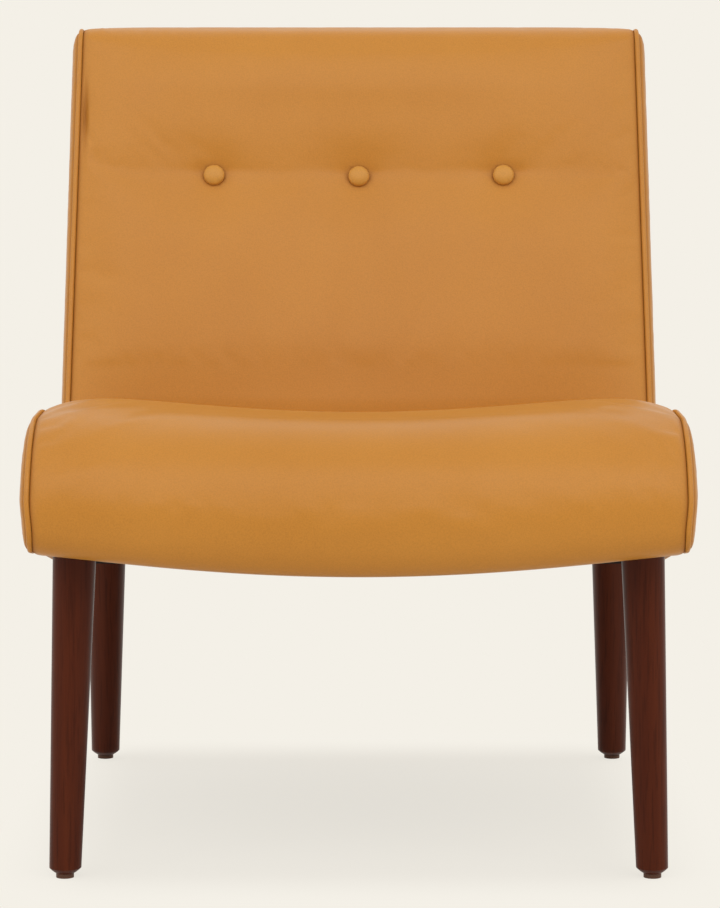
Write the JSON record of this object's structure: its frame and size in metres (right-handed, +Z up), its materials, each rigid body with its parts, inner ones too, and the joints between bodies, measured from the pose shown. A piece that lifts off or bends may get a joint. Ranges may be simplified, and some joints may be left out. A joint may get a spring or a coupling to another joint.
{
  "type": "armless leather lounge chair",
  "caption": "Armless lounge chair covered in tan leather: a sloping seat with a rolled front, a reclined button-tufted back, welted side panels and dark tapered wooden legs.",
  "frame": {"origin": "Centre of the footprint on the floor, under the middle of the overall box.", "axes": "+Z is up and the longest extent. -Y is the front of the seat. +X is the right-hand side as seen from the front."},
  "size_m": [0.6644, 0.8064, 0.8468],
  "materials": {
    "leather": "semi-gloss tan leather with a fine grain",
    "foam": "cream foam wrapped in wadding",
    "board": "plain brown fibreboard",
    "frame_wood": "bare plywood and hardwood",
    "leg_wood": "dark red-brown stained wood under satin lacquer",
    "steel": "bright zinc-plated steel",
    "textile": "webbing, felt and twine",
    "dust_cloth": "thin black cloth",
    "toggle_plastic": "matte white plastic",
    "glide_plastic": "matte grey-brown plastic on a steel nail"
  },
  "bodies": {
    "root": {"seat_cover": "leather", "back_cover": "leather", "outer_back_cover": "leather", "side_cover_left": "leather", "side_cover_right": "leather", "welt_left": "leather", "welt_right": "leather", "tufting_buttons": "leather", "button_backs": "steel", "tufting_twines": "textile", "twine_toggles": "toggle_plastic", "seat_foam": "foam", "back_foam": "foam", "side_pad_left": "foam", "side_pad_right": "foam", "outer_back_pad": "foam", "outer_back_board": "board", "side_frame_left": "frame_wood", "side_frame_right": "frame_wood", "front_rail": "frame_wood", "spring_rail": "frame_wood", "lower_back_rail": "frame_wood", "top_back_rail": "frame_wood", "rear_rail": "frame_wood", "corner_blocks": "frame_wood", "frame_screws": "steel", "seat_springs": "steel", "spring_clips": "steel", "spring_felt": "textile", "back_webbing": "textile", "leg_front_left": "leg_wood", "leg_front_right": "leg_wood", "leg_rear_left": "leg_wood", "leg_rear_right": "leg_wood", "leg_hanger_bolts": "steel", "leg_t_nuts": "steel", "leg_glides": "glide_plastic", "dust_cover": "dust_cloth"}
  },
  "joints": []
}
